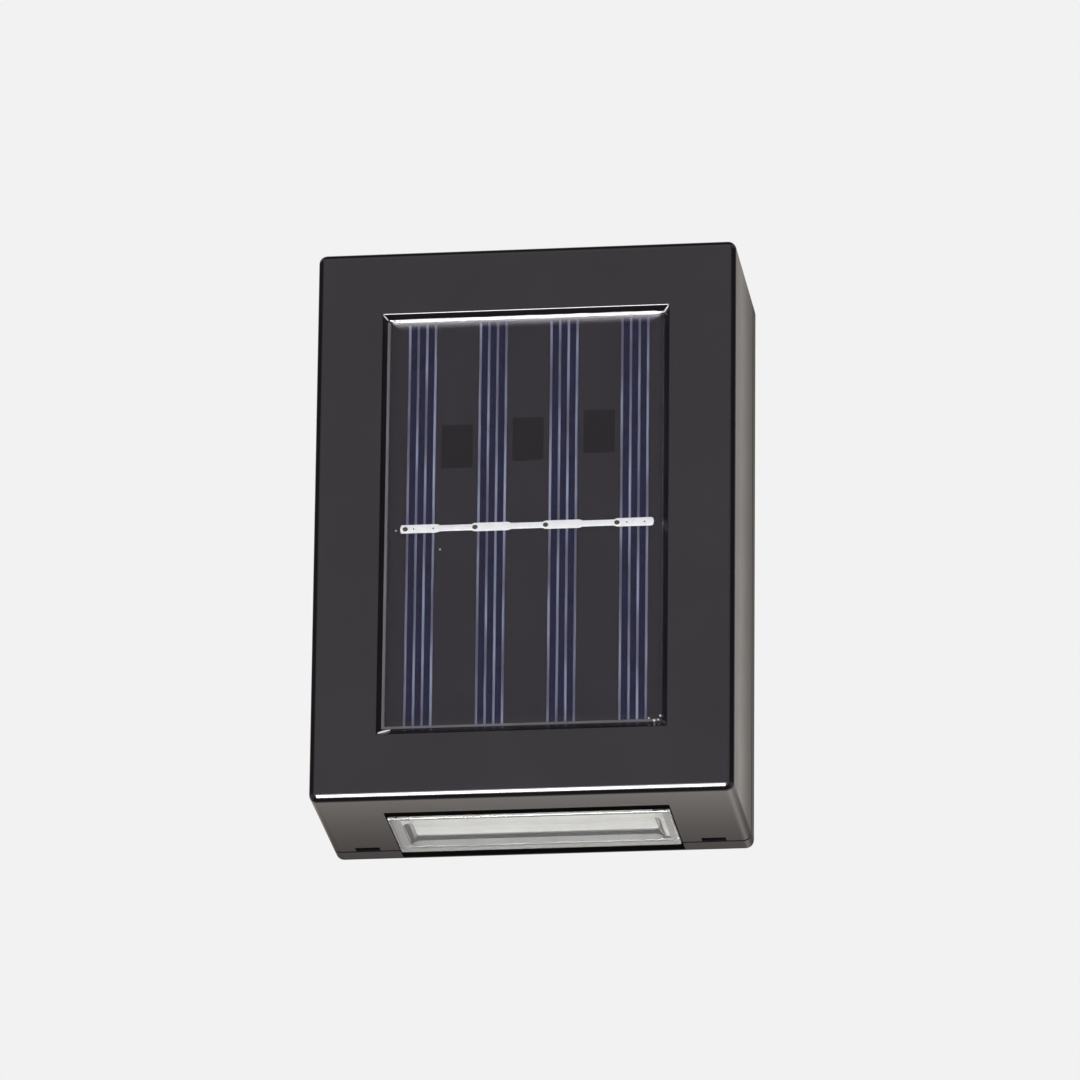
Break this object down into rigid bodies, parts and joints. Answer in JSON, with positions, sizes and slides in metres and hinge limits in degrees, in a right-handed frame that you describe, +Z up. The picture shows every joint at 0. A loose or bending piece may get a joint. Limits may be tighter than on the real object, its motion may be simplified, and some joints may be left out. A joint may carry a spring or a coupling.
{
  "type": "solar wall lamp",
  "caption": "Flat black box lamp for a wall, with a resin-potted solar panel in its front and a clear light window in its top and bottom.",
  "frame": {"origin": "middle of the rear face, which lies on the wall", "axes": "+Z up, +Y into the wall, so the solar panel faces -Y, and +X to the right seen from the front"},
  "size_m": [0.062, 0.029, 0.0856],
  "materials": {
    "case_plastic": "satin moulded plastic, black",
    "seal_rubber": "matte black rubber",
    "lens_plastic": "clear moulded plastic",
    "clear_resin": "clear potting resin",
    "board_black": "black solder mask",
    "patch_black": "black insulating film",
    "silicon": "dark blue silicon with fine contact lines",
    "tinned_copper": "tinned copper",
    "foam_tape": "white foam tape",
    "reflector_white": "white moulded plastic",
    "board_green": "green solder mask",
    "led_yellow": "phosphor-filled light",
    "chip_black": "moulded chip package",
    "ferrite": "dark ferrite",
    "can_silver": "plain aluminium can",
    "holder_plastic": "black moulded plastic",
    "cell_steel": "nickel-plated steel",
    "cell_film": "green shrink film",
    "contact_steel": "nickel-plated spring steel",
    "screw_steel": "zinc-plated steel",
    "button_rubber": "black silicone",
    "switch_plastic": "black moulded plastic",
    "stem_white": "white moulded plastic",
    "wire_red": "red wire insulation",
    "wire_black": "black wire insulation"
  },
  "bodies": {
    "case": {"back_plate": "case_plastic", "back_seal": "seal_rubber", "battery_cell": "cell_steel", "battery_contact_minus": "contact_steel", "battery_contact_plus": "contact_steel", "battery_holder": "holder_plastic", "battery_sleeve": "cell_film", "battery_wire_black": "wire_black", "battery_wire_red": "wire_red", "board_screws": "screw_steel", "boost_inductor": "ferrite", "controller_chip": "chip_black", "front_housing": "case_plastic", "holder_screws": "screw_steel", "housing_screws": "screw_steel", "insulating_patches": "patch_black", "lower_led_board": "board_green", "lower_led_wire_black": "wire_black", "lower_led_wire_red": "wire_red", "lower_leds": "led_yellow", "lower_lens": "lens_plastic", "lower_lens_seal": "seal_rubber", "lower_reflector": "reflector_white", "main_board": "board_green", "panel_resin": "clear_resin", "panel_tape": "foam_tape", "panel_wire_black": "wire_black", "panel_wire_red": "wire_red", "solar_board": "board_black", "solar_strip_1": "silicon", "solar_strip_2": "silicon", "solar_strip_3": "silicon", "solar_strip_4": "silicon", "storage_capacitor": "can_silver", "strip_ribbon": "tinned_copper", "switch_body": "switch_plastic", "switch_spring": "contact_steel", "upper_led_board": "board_green", "upper_led_wire_black": "wire_black", "upper_led_wire_red": "wire_red", "upper_leds": "led_yellow", "upper_lens": "lens_plastic", "upper_lens_seal": "seal_rubber", "upper_reflector": "reflector_white"},
    "button": {"button_cap": "button_rubber", "switch_stem": "stem_white"}
  },
  "joints": [
    {"name": "button_press", "type": "slide", "parent": "case", "child": "button", "axis": [0, -1, 0], "range_m": [0, 0.0015], "stiffness_N_per_m": 800, "springref_m": -0.001, "deforming": ["switch_spring"]}
  ]
}
